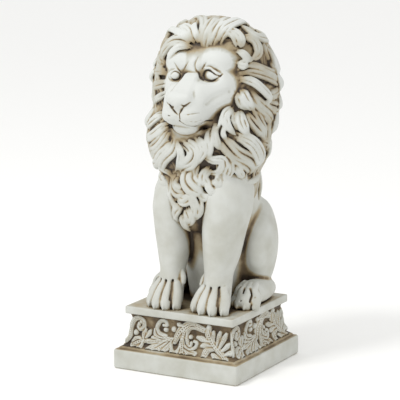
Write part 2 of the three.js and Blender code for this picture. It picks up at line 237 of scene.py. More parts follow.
def skinOf(block):  # surface nets: one corner in each cell that the surface crosses
    values = block.values
    inside = values < 0
    nx, ny, nz = (n - 1 for n in values.shape)
    corners = [(i, j, k) for i in (0, 1) for j in (0, 1) for k in (0, 1)]
    count = np.zeros((nx, ny, nz), dtype=np.int8)
    for i, j, k in corners:
        count += inside[i:i + nx, j:j + ny, k:k + nz]
    mixed = (count > 0) & (count < 8)
    cells = np.argwhere(mixed)
    number = np.full((nx, ny, nz), -1, dtype=np.int32)
    number[mixed] = np.arange(len(cells))
    held = {c: values[cells[:, 0] + c[0], cells[:, 1] + c[1], cells[:, 2] + c[2]] for c in corners}
    total = np.zeros((len(cells), 3))
    crossings = np.zeros(len(cells))
    for a in corners:
        for axis in range(3):
            if a[axis]:
                continue
            b = tuple(c + (n == axis) for n, c in enumerate(a))
            crossed = (held[a] < 0) != (held[b] < 0)
            share = np.where(crossed, held[a] / np.where(crossed, held[a] - held[b], 1), 0)
            spot = np.tile(np.array(a, dtype=float), (len(cells), 1))
            spot[:, axis] += share
            total += spot * crossed[:, None]
            crossings += crossed
    points = block.low + (cells + total / crossings[:, None]) * block.step
    quads = []
    for axis in range(3):
        u, v = [(1, 2), (2, 0), (0, 1)][axis]
        here = np.moveaxis(inside, axis, 0)
        change = np.moveaxis(here[1:] != here[:-1], 0, axis)
        core = [slice(None)] * 3
        core[u] = core[v] = slice(1, -1)
        places = np.argwhere(change[tuple(core)])
        places[:, u] += 1
        places[:, v] += 1
        ring = []
        for du, dv in ((1, 1), (0, 1), (0, 0), (1, 0)):
            back = places.copy()
            back[:, u] -= du
            back[:, v] -= dv
            ring.append(number[back[:, 0], back[:, 1], back[:, 2]])
        ring = np.stack(ring, axis=1)
        solidFirst = inside[places[:, 0], places[:, 1], places[:, 2]]
        quads.append(np.where(solidFirst[:, None], ring, ring[:, ::-1]))
    return points, np.vstack(quads)


def sampleGrid(grid, low, step, points):
    place = (points - low) / step
    first = np.clip(np.floor(place).astype(int), 0, np.array(grid.shape) - 2)
    part = np.clip(place - first, 0, 1)
    total = 0
    for i in (0, 1):
        for j in (0, 1):
            for k in (0, 1):
                weight = abs(1 - i - part[:, 0]) * abs(1 - j - part[:, 1]) * abs(1 - k - part[:, 2])
                total = total + weight * grid[first[:, 0] + i, first[:, 1] + j, first[:, 2] + k]
    return total


def outwardOf(block, points):  # the surface's direction near each point
    slope = np.empty_like(points)
    for axis in range(3):
        nudge = np.zeros(3)
        nudge[axis] = 1.5 * block.step
        ahead = sampleGrid(block.values, block.low, block.step, points + nudge)
        slope[:, axis] = ahead - sampleGrid(block.values, block.low, block.step, points - nudge)
    return slope / np.maximum(np.linalg.norm(slope, axis=1), 1e-6)[:, None]


march = {"start": 320, "steps": 150, "touch": 0.05, "stride": 0.6, "least": 0.4, "most": 6}  # lengths in mm


def castOn(block, pixels):  # where the lines of sight through pixels of the photograph meet a form
    eye, right, up, back = (np.array(v) for v in viewAxes())
    eye = eye / mm - np.array(lionPlace)
    scale = view["lens"] / view["sensor"] * view["picture"]
    middle = view["picture"] / 2
    pixels = np.array(pixels, dtype=float)
    rays = (pixels[:, :1] - middle) / scale * right - (pixels[:, 1:] - middle) / scale * up - back
    rays /= np.linalg.norm(rays, axis=1)[:, None]
    run = np.full(len(pixels), view["distance"] / mm - march["start"])
    nearest, least = run.copy(), np.full(len(pixels), farAway)
    for _ in range(march["steps"]):
        gap = sampleGrid(block.values, block.low, block.step, eye + rays * run[:, None])
        nearest = np.where(gap < least, run, nearest)
        least = np.minimum(gap, least)
        stride = np.clip(march["stride"] * gap, march["least"], march["most"])
        run = run + np.where(least > march["touch"], stride, 0)
    return eye + rays * nearest[:, None]


# Body

bodyForm = {
    "grid": ([-140, -158, -8], [145, 140, 330], 2.0),
    "girth": {1: 1.06, -1: 0.94},  # the near foreleg is a little stouter than the far one
    "legAt": {1: 55, -1: -52},
    "toes": (-1, -0.36, 0.36, 1),  # where each toe is across the paw
    "toeGrooves": (-0.68, 0, 0.68),
    "grooveRadius": 2.4,
}


def toePath(x, back, front, spread, rise, girth, fan):
    setBack = 13 * fan * fan
    return [
        [x + 0.55 * fan * spread, back + 0.6 * setBack + 6, rise + 14, 0.55 * girth],
        [x + 0.68 * fan * spread, back + 0.6 * setBack - 10, rise + 3, 0.85 * girth],
        [x + 0.9 * fan * spread, front + 14 + setBack, 0.66 * rise, girth],
        [x + fan * spread, front + 4 + setBack, 0.3 * rise, 0.98 * girth],
        [x + fan * spread, front + 6 + setBack, 4, 0.8 * girth],
    ]


def addPaw(block, x, back, front, spread, rise, girth, grooveFrom=0):
    block.join(egg([x, 0.45 * back + 0.55 * front + 14, 0.45 * rise], [spread, 30, 0.62 * rise]), 6)
    for fan in bodyForm["toes"]:
        path = toePath(x, back, front, spread, rise, girth, fan)
        block.join(tube(path), 2.5)
        tipX, tipY, tipZ = path[3][:3]
        claw = [[tipX, tipY - 0.55 * girth, tipZ + 2, 3.6], [tipX, tipY - girth, tipZ - 4, 3.2],
                [tipX, tipY - 1.12 * girth, 1.5, 1.3]]
        block.carve(egg([tipX, tipY - 1.05 * girth, tipZ - 1], [4.6, 3, 5]), 1.5)
        block.join(tube(claw, 3), 0.8)
    for fan in bodyForm["toeGrooves"]:
        path = toePath(x, back, front, spread, rise, girth, fan)[grooveFrom:4]
        groove = [[px, py - 0.35 * r, pz + 0.8 * r, bodyForm["grooveRadius"]] for px, py, pz, r in path]
        block.carve(tube(groove), 3)


def legForm(side):
    girth = bodyForm["girth"][side]
    x = bodyForm["legAt"][side]
    return column([
        [8, x, -74, 28 * girth, 24 * girth],
        [48, x, -68, 28 * girth, 29 * girth],
        [75, x, -62, 27 * girth, 31 * girth],
        [112, x + 2 * side, -53, 35 * girth, 41 * girth],
        [160, x + 5 * side, -49, 41 * girth, 48 * girth],
        [205, x + 8 * side, -40, 46 * girth, 58 * girth],
        [245, x + 6 * side, -30, 46 * girth, 62 * girth],
        [285, x, -18, 38 * girth, 55 * girth],
    ])


def addForeleg(block, side):
    girth = bodyForm["girth"][side]
    x = bodyForm["legAt"][side]
    block.join(legForm(side), 7)
    addPaw(block, x, -80, -119, 30 * girth + 1, 44, 11)
    block.join(tube([
        [x - side * 22 * girth, -66, 74, 7],
        [x - side * 28 * girth, -69, 62, 7.5],
        [x - side * 31 * girth, -73, 52, 6],
    ]), 2)
    block.join(tube([[x - side * 31 * girth, -75, 50, 3.2], [x - side * 31 * girth, -77, 41, 1.4]]), 0.8)


def bodyField():
    block = Block(*bodyForm["grid"])
    block.join(column([
        [-pawSink, 0, 45, 58, 70],
        [60, 0, 48, 70, 76],
        [140, 0, 38, 84, 84],
        [205, 0, 22, 92, 94],
        [270, 0, 4, 97, 97],
        [320, 0, 0, 90, 90],
    ]), 1)
    for side in (1, -1):
        block.join(egg([side * 56, 70, 95], [58, 50, 92]), 14)
        block.join(egg([side * 74, 74, 128], [38, 46, 84], pitch=-8), 16)
        block.join(egg([side * 91, 56, 122], [31, 48, 66], pitch=-8), 8)
        block.join(tube([
            [side * 92, 92, 18, 14],
            [side * 92, 76, 22, 22],
            [side * 96, 40, 24, 25],
            [side * 96, 2, 27, 26],
            [side * 97, -12, 24, 23],
        ]), 5)
        addPaw(block, side * 97, -16, -43, 24, 34, 10, grooveFrom=1)
        addForeleg(block, side)
    block.join(tube([
        [0, 96, 70, 13], [6, 112, 36, 11], [0, 109, 14, 10], [-40, 109, 9, 9], [-78, 106, 9, 9],
    ]), 4)
    block.join(egg([-94, 100, 9], [24, 12, 11], yaw=-14), 3)
    return block


# Head

headForms = [  # centre, half sizes, how softly it runs into the rest
    ([0, -4, 478], [84, 62, 72], 12),
    ([36, -38, 508], [38, 29, 27], 12),
    ([-36, -38, 504], [38, 29, 27], 12),
    ([0, -36, 502], [34, 26, 26], 12),
    ([0, -55, 496], [16, 15, 24], 14),
    ([50, -43, 450], [33, 37, 46], 12),
    ([-44, -40, 448], [31, 36, 46], 12),
    ([42, -66, 436], [24, 26, 30], 14),
    ([0, -58, 402], [48, 44, 32], 12),
    ([0, -96, 410], [38, 34, 34], 10),
    ([24, -80, 436], [30, 36, 38], 16),
    ([-25, -78, 434], [28, 36, 36], 16),
    ([20, -92, 422], [26, 33, 30], 16),
    ([-22, -92, 420], [26, 33, 30], 16),
    ([16, -112, 406], [24, 23, 19], 8),
    ([-22, -112, 406], [23, 24, 19], 8),
    ([-2, -90, 381], [31, 27, 19], 3),
]
face = {
    "bridge": [[0, -67, 479], [-2, -129, 436]],
    "bridgeWidths": (16, 25),  # half widths at the brow and at the nose
    "bridgeThickness": 13,
    "bridgeEdge": 8,
    "nose": ([-2, -124, 438], [26, 17, 15]),
    "lipRidge": ([[-2, -128, 432], [-2, -124, 412]], [12, 5]),
    "eyeSpread": 42,
    "eyeHeight": 482,
    "eyeDepth": -61,
    "eyeball": [19, 14, 13],
    "socketDepth": -84,
    "socket": [23, 16, 12],
    "socketTurn": 22,
    "farEyeDrop": 4,  # the far side of the face sits a little lower
    "tuft": ([0, 3, 2], [0, 4, -7], 4.2, 1.2),  # a chin tuft's root and tip from its place, and their radii
}
lineSoftness = {"raise": 1.6, "cut": 0.8, "press": 8}
# Lines on the face, in pixels of the photograph: whether cut, raised or pressed in, half width in mm,
# depth or height in mm, route. The first are mirrored to the far side, the others drawn once.
faceLines = [
    ("cut", 2.2, 3.0, [(181.4, 105), (183.4, 106.4), (185.8, 105.6), (190.4, 102.4)]),
    ("cut", 1.5, 2.4, [(179.2, 114), (179.4, 118), (179.7, 121.2)]),
    ("cut", 2.0, 4.2, [(179.4, 120.8), (183, 123.8), (188.6, 126), (195.7, 126.4), (200.8, 124.3),
                       (205.4, 121.4), (212.4, 120.4)]),
    ("cut", 1.1, 1.1, [(184.5, 115.6), (188.6, 114.6), (194.7, 113.6), (199.8, 113)]),
    ("cut", 1.1, 1.2, [(185.5, 120.8), (191.6, 122), (196.7, 122), (201.5, 120)]),
    ("press", 11, 0.8, [(207, 104.5), (214, 99), (222, 95), (229, 92)]),
]
faceLinesOnce = [
    ("raise", 2.2, 1.3, [(203, 73.6), (205, 69.6), (208.8, 68), (213, 69.4), (218, 72.2), (222.4, 74.4)]),
    ("raise", 2.0, 1.1, [(204.6, 79.6), (208.8, 81.2), (213.4, 80.4), (217.8, 78.4), (221, 76.2)]),
    ("raise", 4.0, 1.3, [(205.6, 65), (210.4, 63.4), (216, 65.4), (221.5, 69), (225, 72.6)]),
    ("cut", 1.6, 3.6, [(203.4, 75.6), (204.8, 71.4), (208.4, 70.2), (212.4, 72), (216, 74.6), (220, 75.6),
                       (222.6, 74.2)]),
    ("cut", 1.5, 3.0, [(203.4, 75.6), (204.8, 79), (210.4, 81), (214.8, 79.8), (218.4, 77.6), (221, 76)]),
    ("cut", 1.2, 1.1, [(204.8, 66.6), (209.6, 66.2), (214.4, 69), (219, 72), (223, 74.4)]),
    ("cut", 3.0, 4.2, [(199.2, 73.4), (200.6, 77), (203.6, 80)]),
    ("cut", 2.2, 2.2, [(198, 57), (195.8, 61), (194.6, 65), (195.6, 69.4), (198.6, 72.6)]),
    ("cut", 1.6, 1.8, [(206.4, 62.4), (204, 65.6), (202.4, 69)]),
    ("cut", 1.3, 2.0, [(184, 106.4), (181.4, 110.4), (179.4, 114)]),
    ("cut", 1.5, 2.2, [(169.2, 103.4), (171.6, 107.6), (175, 112), (178.8, 115.8)]),
    ("cut", 1.6, 2.2, [(173.8, 62.2), (177, 67.6), (181, 73)]),
    ("cut", 1.4, 1.6, [(188.2, 61.6), (185.2, 66.6), (183, 71)]),
    ("raise", 2.4, 1.5, [(170.6, 72.6), (174.4, 70.4), (178, 71.2), (181.2, 75)]),
    ("cut", 1.5, 3.2, [(170.2, 74.8), (173.4, 71.4), (177, 71.6), (180.2, 75), (179, 78.8), (175.6, 79.8),
                       (172, 79), (170.2, 76.4)]),
]
chinTufts = [(174.5, 131), (177.5, 133.6), (181, 135), (184.8, 135.4), (189, 135), (193, 135.2),
             (197, 133.4), (200.4, 130.6)]


def softBox(qx, qy, qz, edge):  # from how far past each pair of a box's inner faces a place is
    beyond = np.sqrt(np.maximum(qx, 0) ** 2 + np.maximum(qy, 0) ** 2 + np.maximum(qz, 0) ** 2)
    return (beyond + np.minimum(np.maximum(np.maximum(qx, qy), qz), 0) - edge).astype(np.float32)


def beam(a, b, wide, thick, edge):  # a rounded bar across X that widens from a to b
    a, b = np.array(a, dtype=float), np.array(b, dtype=float)
    run = b - a
    length = float(np.linalg.norm(run))
    ahead = run / length
    over = np.cross([1, 0, 0], ahead)

    def distance(x, y, z):
        dy, dz = y - a[1], z - a[2]
        along = dy * ahead[1] + dz * ahead[2]
        half = wide[0] + (wide[1] - wide[0]) * np.clip(along / length, 0, 1)
        qx = np.abs(x - a[0]) - (half - edge)
        qy = np.abs(dy * over[1] + dz * over[2]) - (thick - edge)
        qz = np.abs(along - 0.5 * length) - (0.5 * length - edge)
        return softBox(qx, qy, qz, edge)

    reach = max(wide) + thick
    return np.minimum(a, b) - reach, np.maximum(a, b) + reach, distance


def drawLine(block, both, kind, width, depth, route):
    spots = castOn(block, smoothPath(route, 4))
    outward = outwardOf(block, spots)
    share = np.linspace(0, 1, len(spots))
    swell = np.clip(np.sin(np.pi * (0.12 + 0.76 * share)) ** 0.6, 0.3, 1)
    radius = width * swell
    shifts = [radius - depth * swell]
    if kind == "raise":
        shifts = [-shifts[0]]
    if kind == "cut":  # open to the surface, however deep it goes
        shifts += [0.5 * shifts[0], 0 * radius]
    for shift in shifts:
        near = spots + outward * shift[:, None]
        far = near * [-1, 1, 1] - [0, 0, face["farEyeDrop"]]
        for line in (near, far)[:1 + both]:
            block.join(cord(line, radius), lineSoftness[kind], 1 if kind == "raise" else -1)


def addHead(block):
    for centre, radii, softness in headForms:
        block.join(egg(centre, radii), softness)
    block.join(beam(*face["bridge"], face["bridgeWidths"], face["bridgeThickness"], face["bridgeEdge"]), 7)
    block.join(egg(*face["nose"]), 9)
    block.join(cord(*face["lipRidge"]), 4)
    for side in (1, -1):
        height = face["eyeHeight"] - (face["farEyeDrop"] if side < 0 else 0)
        socket = [side * (face["eyeSpread"] + 1), face["socketDepth"], height]
        block.carve(egg(socket, face["socket"], yaw=side * face["socketTurn"]), 6)
        block.join(egg([side * face["eyeSpread"], face["eyeDepth"], height], face["eyeball"]), 1)
    for line in faceLines:
        drawLine(block, True, *line)
    for line in faceLinesOnce:
        drawLine(block, False, *line)
    root, tip, rootRadius, tipRadius = face["tuft"]
    for spot in castOn(block, chinTufts):
        block.join(limb(spot + root, spot + tip, rootRadius, tipRadius), 1.2)


# Mane

maneMass = [  # centre, half sizes
    ([0, 20, 522], [104, 74, 60]),
    ([0, 27, 440], [126, 97, 138]),
    ([0, -4, 345], [122, 98, 100]),
    ([0, 8, 240], [94, 90, 110]),
    ([0, -62, 232], [42, 34, 66]),
]
massBlend = 18
mane = {
    "grid": ([-152, -162, 150], [155, 148, 604], 1.5),
    "throat": ([0, -108, 372], [52, 40, 28]),
    "throatBlend": 10,
    "rows": 9,
    "locksRound": 22,
    "rowReach": 0.2,  # each lock's length as a share of the flow
    "height": 13,
    "underHeight": 2,  # the locks seen between the drawn ones
    "crownHeight": 8,  # lower on the crown, so that the drawn locks make its outline
    "crownFrom": (535, 560),
    "uneven": 4,  # how much the drawn locks differ in height
    "bareGap": 7.5,  # a drawn lock that lies further than this from the mass is lifted
    "mostLift": 18,
    "top": 593.5,
    "partingSweep": 24,
    "bibDrop": 62,
    "bibHalfTurn": 34,
}
# Rings that the mane is combed along: half width, middle and reach in Y, middle in Z
maneRings = {"rim": (82, -44, 14, 464), "widest": (128, 2, 103, 420), "hem": (100, 0, 95, 236)}
rimReach = {"up": 78, "down": 112}  # in Z
widestReach = 100
lockShape = {  # from root to tip: shares of the way, and what each value is there
    "stout": ([0, 0.2, 0.6, 0.88, 1], [0.5, 0.95, 1.08, 0.72, 0.3]),
    "spread": ([0, 0.2, 0.6, 0.9, 1], [0.6, 1, 1, 0.55, 0.1]),
    "rise": ([0, 0.12, 0.3, 0.7, 1], [0.3, 0.75, 0.97, 1, 0.6]),
    "strandGirth": 0.66,  # these are shares of the lock's girth
    "strandSpacing": 1.1,
    "sway": 0.16,
    "softness": 1.8,
}
comb = {
    "lastRow": 0.86,
    "rowLuck": 0.09,
    "points": 16,
    "wave": (0.85, 0.1, 0.4),  # turns, start and width of a lock's wave
    "hook": (0.5, 1.5, 1.4),  # where its tip turns aside, how sharply and how far
    "girth": ([0.1, 0.5], [7.2, 5.2]),  # finer where it faces the camera
    "girthLuck": 1.8,
}
# Locks that the photograph shows, from root to tip in its pixels: strand radius in mm, strands, route
drawnLocks = {
    "crown": [
        (8, 1, [(201.5, 45), (203, 36), (205, 27.5), (203, 21), (198, 19), (194, 20), (192.5, 24)]),
        (4, 2, [(198.5, 42.5), (197.5, 35), (196, 29), (198, 25.5)]),
        (6, 2, [(196, 41), (193, 35), (189, 31), (184, 30), (179.5, 29)]),
        (12, 1, [(184, 25.5), (183, 22.5), (186, 21)]),
        (5, 2, [(195, 42.5), (189, 38), (181, 35), (174, 32), (169.5, 34.5), (168, 40)]),
        (9, 2, [(204, 45.5), (208, 35), (213, 25), (217.5, 18)]),
        (8, 2, [(211, 44), (215, 34), (222.5, 25), (230, 19.5)]),
        (7, 3, [(217.5, 42.5), (222.5, 32.5), (231, 27.5), (240, 25), (247.5, 29)]),
        (5, 2, [(220, 41), (225, 35), (230, 35), (234, 40), (236, 47.5)]),
        (6, 2, [(227.5, 34.5), (235, 35), (241, 42.5), (239, 48)]),
        (7, 2, [(239, 26), (246, 32.5), (254, 40), (262, 41), (264.5, 36), (259, 31), (253, 32.5)]),
        (6, 2, [(242.5, 38), (249, 40.5), (255, 46), (256, 55), (250.5, 59)]),
        (5, 2, [(237.5, 51), (242.5, 55), (246, 59), (252, 59)]),
    ],
    "far temple": [
        (6, 3, [(192.5, 46), (185, 42), (176, 42.5), (169.5, 48), (165.5, 55), (165.5, 60)]),
        (4, 2, [(191, 48), (184, 47), (177, 51), (173, 57.5), (170, 61)]),
        (5, 2, [(166, 60), (160, 58), (154.5, 61), (153, 66), (157, 70)]),
        (7, 2, [(167.5, 73), (159, 70), (150.5, 72), (149.5, 79), (154.5, 84)]),
        (6, 2, [(169, 82.5), (161, 85), (154, 90), (151, 99), (155.5, 105)]),
        (5, 2, [(167.5, 92.5), (162, 97.5), (157, 104), (154.5, 106)]),
        (14, 1, [(160, 109), (151, 112.5), (146, 120), (149, 126)]),
        (7, 2, [(166, 115), (159, 120), (154, 125), (150, 130)]),
        (6, 2, [(171, 125), (162.5, 131), (154, 137.5), (149, 135.5)]),
        (6, 2, [(172.5, 131), (165, 140), (157, 147.5), (150.5, 146)]),
        (6, 2, [(171, 137.5), (164, 147.5), (155, 155), (149, 154)]),
        (5, 2, [(167.5, 149), (161, 159), (155, 165), (156, 169)]),
    ],
    "chest": [
        (7, 3, [(178, 139.5), (174, 149), (165.5, 156), (163, 166), (169, 173), (176, 177)]),
        (5, 2, [(179.5, 141), (184, 151), (182, 161), (178, 171)]),
        (7, 3, [(187.5, 140), (196, 149), (194, 159), (185, 164), (182.5, 171)]),
        (6, 2, [(197.5, 141), (205, 149), (200, 156), (197.5, 162.5)]),
        (5, 2, [(200, 137.5), (205, 146), (206, 154)]),
        (6, 2, [(210, 130), (209, 141), (210, 151), (207.5, 157.5)]),
        (6, 2, [(205, 155), (214, 159), (222.5, 157.5), (222.5, 166), (216, 171), (209, 171)]),
    ],
    "bib": [
        (9, 1, [(166, 174), (160, 177), (161, 184), (167.5, 185)]),
        (6, 2, [(169, 179), (170.5, 187.5), (167.5, 196), (174, 204)]),
        (8, 2, [(180, 172.5), (176, 181), (178, 190), (184, 192), (186, 187.5)]),
        (10, 2, [(192.5, 169), (190, 179), (195, 189), (204, 194)]),
        (8, 2, [(206, 174), (211, 182.5), (211, 190), (216, 195)]),
        (8, 2, [(216, 176), (222, 184), (219, 191)]),
        (6, 2, [(180, 196), (185, 201), (191, 197.5), (192.5, 192.5)]),
        (6, 2, [(182.5, 204), (178, 212.5), (180, 220)]),
        (6, 2, [(187.5, 207.5), (192.5, 216), (189, 223)]),
        (6, 2, [(197.5, 199), (200, 209), (195, 217.5)]),
        (5, 2, [(200, 192.5), (204, 197.5), (211, 196)]),
        (6, 2, [(199, 162), (194.5, 169), (196, 178), (201, 184)]),
        (6, 2, [(210, 166), (204.5, 172), (204, 181), (208, 188)]),
        (5, 2, [(213, 170), (219, 176), (217.5, 184), (212, 188)]),
        (5, 2, [(171, 190), (173, 199), (179, 206), (184, 208)]),
        (5, 2, [(188, 189), (193, 197), (196, 206), (193, 213)]),
        (5, 2, [(184, 213), (187, 221), (191, 228)]),
    ],
    "near side": [
        (9, 3, [(260, 42.5), (270, 50), (277.5, 60), (279.5, 71), (274, 75)]),
        (8, 2, [(267.5, 70), (277.5, 75), (284.5, 82.5), (280, 92.5)]),
        (8, 3, [(239, 71), (249, 67.5), (261, 72.5), (272.5, 79), (277, 87.5), (271, 94.5), (262.5, 95)]),
        (6, 2, [(241, 79), (250, 81), (260, 90), (267.5, 99), (261, 104)]),
        (5, 2, [(237.5, 64), (242.5, 65), (246, 67.5)]),
        (6, 2, [(274, 91), (280, 97.5), (282, 106), (277.5, 111)]),
        (7, 2, [(240, 91), (244.5, 99), (252, 109)]),
        (5, 2, [(239, 92.5), (240, 102.5), (246, 109)]),
        (8, 3, [(250, 92.5), (255, 104), (265, 112.5), (268, 121), (262.5, 130)]),
        (9, 2, [(266, 104), (274, 109), (279, 120), (276, 130), (269, 135)]),
        (7, 2, [(240, 111), (239, 121), (242.5, 130), (247.5, 135)]),
        (8, 3, [(249, 111), (254, 122.5), (260, 131), (262.5, 140)]),
    ],
    "cheek": [
        (5, 2, [(232.5, 107.5), (225.5, 115), (225, 126), (234, 135)]),
        (4, 2, [(236, 112.5), (233, 121), (236, 130)]),
        (4, 1, [(222.5, 115), (220, 124), (217.5, 130)]),
        (5, 2, [(216, 124), (215, 135), (217.5, 144), (221, 149)]),
        (4, 1, [(225, 125), (222.5, 134), (226, 140)]),
    ],
    "near shoulder": [
        (9, 3, [(220, 137.5), (227.5, 146), (236, 155), (247, 160), (250.5, 167.5), (246, 175)]),
        (7, 3, [(236, 136), (247.5, 141), (255, 150), (257, 160), (250, 166)]),
        (6, 2, [(261, 140), (269, 144), (269, 152.5), (261, 161)]),
        (6, 2, [(255, 159), (257.5, 169), (252.5, 180), (247, 187.5)]),
        (6, 2, [(225, 155), (229, 166), (226, 176), (229, 184)]),
        (5, 2, [(234, 162.5), (239, 171), (241, 180)]),
        (5, 2, [(242.5, 170), (244, 179), (246, 186)]),
        (6, 2, [(217.5, 161), (222.5, 171), (220, 180), (222.5, 184)]),
    ],
}


def outsideMass(p):
    blended = np.full(len(p), farAway)
    for centre, radii in maneMass:
        gap = (np.linalg.norm((p - centre) / np.array(radii), axis=1) - 1) * min(radii)
        blended = softMin(blended, gap, massBlend)
    return blended


def massSlope(p):
    slope = np.empty_like(p)
    for axis in range(3):
        nudge = np.zeros(3)
        nudge[axis] = 0.5
        slope[:, axis] = outsideMass(p + nudge) - outsideMass(p - nudge)
    return slope


def settle(p):  # moves points straight onto the surface of the mass
    p = p.copy()
    for _ in range(5):
        slope = massSlope(p)
        p -= slope * (outsideMass(p) / (slope ** 2).sum(axis=1))[:, None]
    return p


def ringAt(name, angle, reach):
    wide, y, deep, z = maneRings[name]
    return np.stack([wide * np.sin(angle), y + deep * np.cos(angle), z + reach * np.cos(angle)], axis=1)


def flow(turn, share):  # from the rim of the face, over the widest part, to the hem
    turn, share = np.broadcast_arrays(np.asarray(turn, dtype=float), np.asarray(share, dtype=float))
    around = (turn + 540) % 360 - 180
    over = np.where(np.abs(around) < 90, mane["partingSweep"] * np.sin(np.radians(2 * around)), 0)
    start, t = np.radians(around - over), np.radians(around)
    rim = ringAt("rim", start, np.where(np.cos(start) > 0, rimReach["up"], rimReach["down"]))
    widest = ringAt("widest", t, widestReach)
    fromThroat = np.maximum(1 - (180 - np.abs(around)) / mane["bibHalfTurn"], 0)
    hem = ringAt("hem", t, 0)
    hem[:, 2] -= mane["bibDrop"] * fromThroat ** 0.8
    guide = 2 * widest - 0.5 * rim - 0.5 * hem
    s = share[:, None]
    return settle(rim * (1 - s) ** 2 + guide * 2 * s * (1 - s) + hem * s ** 2)


def layLock(block, seat, girth, strands, base, crest, seed):  # strands drawn together at the tip
    outward = massSlope(seat)
    outward /= np.linalg.norm(outward, axis=1)[:, None]
    ahead = np.gradient(seat, axis=0)
    ahead /= np.maximum(np.linalg.norm(ahead, axis=1), 1e-6)[:, None]
    aside = np.cross(ahead, outward)
    share = np.linspace(0, 1, len(seat))
    count = strands + 1
    stout = lockShape["strandGirth"] * girth * np.interp(share, *lockShape["stout"])
    spread = lockShape["strandSpacing"] * girth * np.interp(share, *lockShape["spread"])
    rise = base + crest * np.interp(share, *lockShape["rise"])
    rise = np.minimum(rise, mane["top"] - seat[:, 2])
    luck = np.array([chance(seed + 5 * n) for n in range(count)])
    girths = 0.72 + 0.56 * luck
    offsets = np.cumsum(girths) - 0.5 * girths
    offsets -= 0.5 * girths.sum()
    for offset, own, fate in zip(offsets, girths, luck):
        sunk = 0.28 * girth * (2 * abs(offset) / count) ** 2 - 0.9 * (own - 1) * girth * 0.3
        sway = lockShape["sway"] * girth * np.sin(2 * np.pi * (1.1 * share + fate))
        path = seat + aside * (offset * spread + sway)[:, None]
        path = path + outward * (rise - sunk - own * stout)[:, None]
        first = int(0.12 * len(seat) * fate) if abs(offset) > 0.5 else 0
        last = len(seat) - int(0.16 * len(seat) * (1 - fate) * min(abs(offset), 1))
        block.joinStrand(path[first:last], own * stout[first:last], lockShape["softness"])


def even(line, rounds=6):  # takes the kinks out of a route
    line = line.copy()
    for _ in range(rounds):
        line[1:-1] = 0.25 * line[:-2] + 0.5 * line[1:-1] + 0.25 * line[2:]
    return line


def drawLocks(block, bare):
    for locks in drawnLocks.values():
        for girth, strands, route in locks:
            route = smoothPath(route, 5)
            spots = castOn(bare, route)
            gap = outsideMass(spots)
            luck = chance(route[0, 0] + 3 * route[0, 1])
            base = even(np.clip(gap - mane["bareGap"], 0, mane["mostLift"]))
            crest = mane["height"] + mane["uneven"] * luck - 0.5 * mane["uneven"]
            seed = round(7 * route[0, 0] + 3 * route[0, 1])
            layLock(block, settle(even(spots)), girth, strands, base, crest, seed)


def combLocks(block):  # the rest of the mane: rows of curved locks, staggered, none alike
    back = np.array(viewAxes()[3])
    width = 360 / mane["locksRound"]
    turns, start, wide = comb["wave"]
    hookFrom, sharp, aside = comb["hook"]
    for row in range(mane["rows"]):
        for cell in range(mane["locksRound"]):
            luck = [chance(31 * row + 7 * cell + 3 * n) for n in range(5)]
            turn = width * (cell + 0.5 * (row % 2) + 0.5 * (luck[0] - 0.5))
            begin = row / mane["rows"] * comb["lastRow"] + comb["rowLuck"] * (luck[1] - 0.5)
            reach = mane["rowReach"] * (0.85 + 0.5 * luck[2])
            share = np.linspace(0, 1, comb["points"])
            side = 1 if luck[3] > 0.45 else -1
            wave = wide * np.sin(2 * np.pi * (turns * share + start))
            wave = wave + aside * np.clip(share - hookFrom, 0, 1) ** sharp
            seat = flow(turn + side * width * wave, np.clip(begin + reach * share, 0, 1.06))
            middle = len(seat) // 2
            outward = massSlope(seat[middle:middle + 1])[0]
            facing = outward @ back / np.linalg.norm(outward)  # 1 where it faces the camera
            tall = mane["height"] - 3 * luck[4]
            tall = np.interp(seat[middle, 2], mane["crownFrom"], [tall, mane["crownHeight"]])
            crest = np.interp(facing, [0.12, 0.3, 0.6], [tall, 0.6 * tall, mane["underHeight"]])
            girth = np.interp(facing, *comb["girth"]) + comb["girthLuck"] * luck[4]
            layLock(block, seat, girth, 2 + (luck[2] > 0.4), 0, crest, 31 * row + 7 * cell)


def maneField():
    block = Block(*mane["grid"])
    for centre, radii in maneMass:
        block.join(egg(centre, radii), massBlend)
    block.carve(egg(*mane["throat"]), mane["throatBlend"])
    bare = Block(block.low, block.low, block.step)
    bare.axes, bare.values = block.axes, block.values.copy()
    for side in (1, -1):
        bare.join(legForm(side), 7)
    addHead(block)
    combLocks(block)
    drawLocks(block, bare)
    return block


# Plinth

friezeProfile = [[0, -6], [0.08, 2], [0.25, 7], [0.55, 12], [0.9, 11], [1, 8]]  # share of height, inset
friezeFoot = stand["baseHeight"] + stand["ledgeHeight"]
friezeHeight = stand["friezeHeight"]
relief = {
    "height": 7.0,
    "step": 0.9,
    "backing": 16,  # how deep one carved face is
    "spare": 8,  # its grid reaches this far past the slab
    "coreInset": 1.5,
    "mitreGap": 0.4,
    "mitreSlope": 1.414,
    "fullness": {"scroll": 1.2, "blade": 1.5},
    "profile": {"scroll": [0.95, 1, 0.95, 0.8], "blade": [0.55, 0.8, 1.05, 0.6]},  # width along a stroke
    "vein": 0.3,
    "veins": [(0, 0.16, 1), (0.5, 0.13, 0.7)],  # place across a stroke, width and depth
    "thinRise": (0.45, 0.55, 3.6),  # a hair's rise, what a stout stroke adds, the radius that is stout
    "ballRise": 1.15,
}
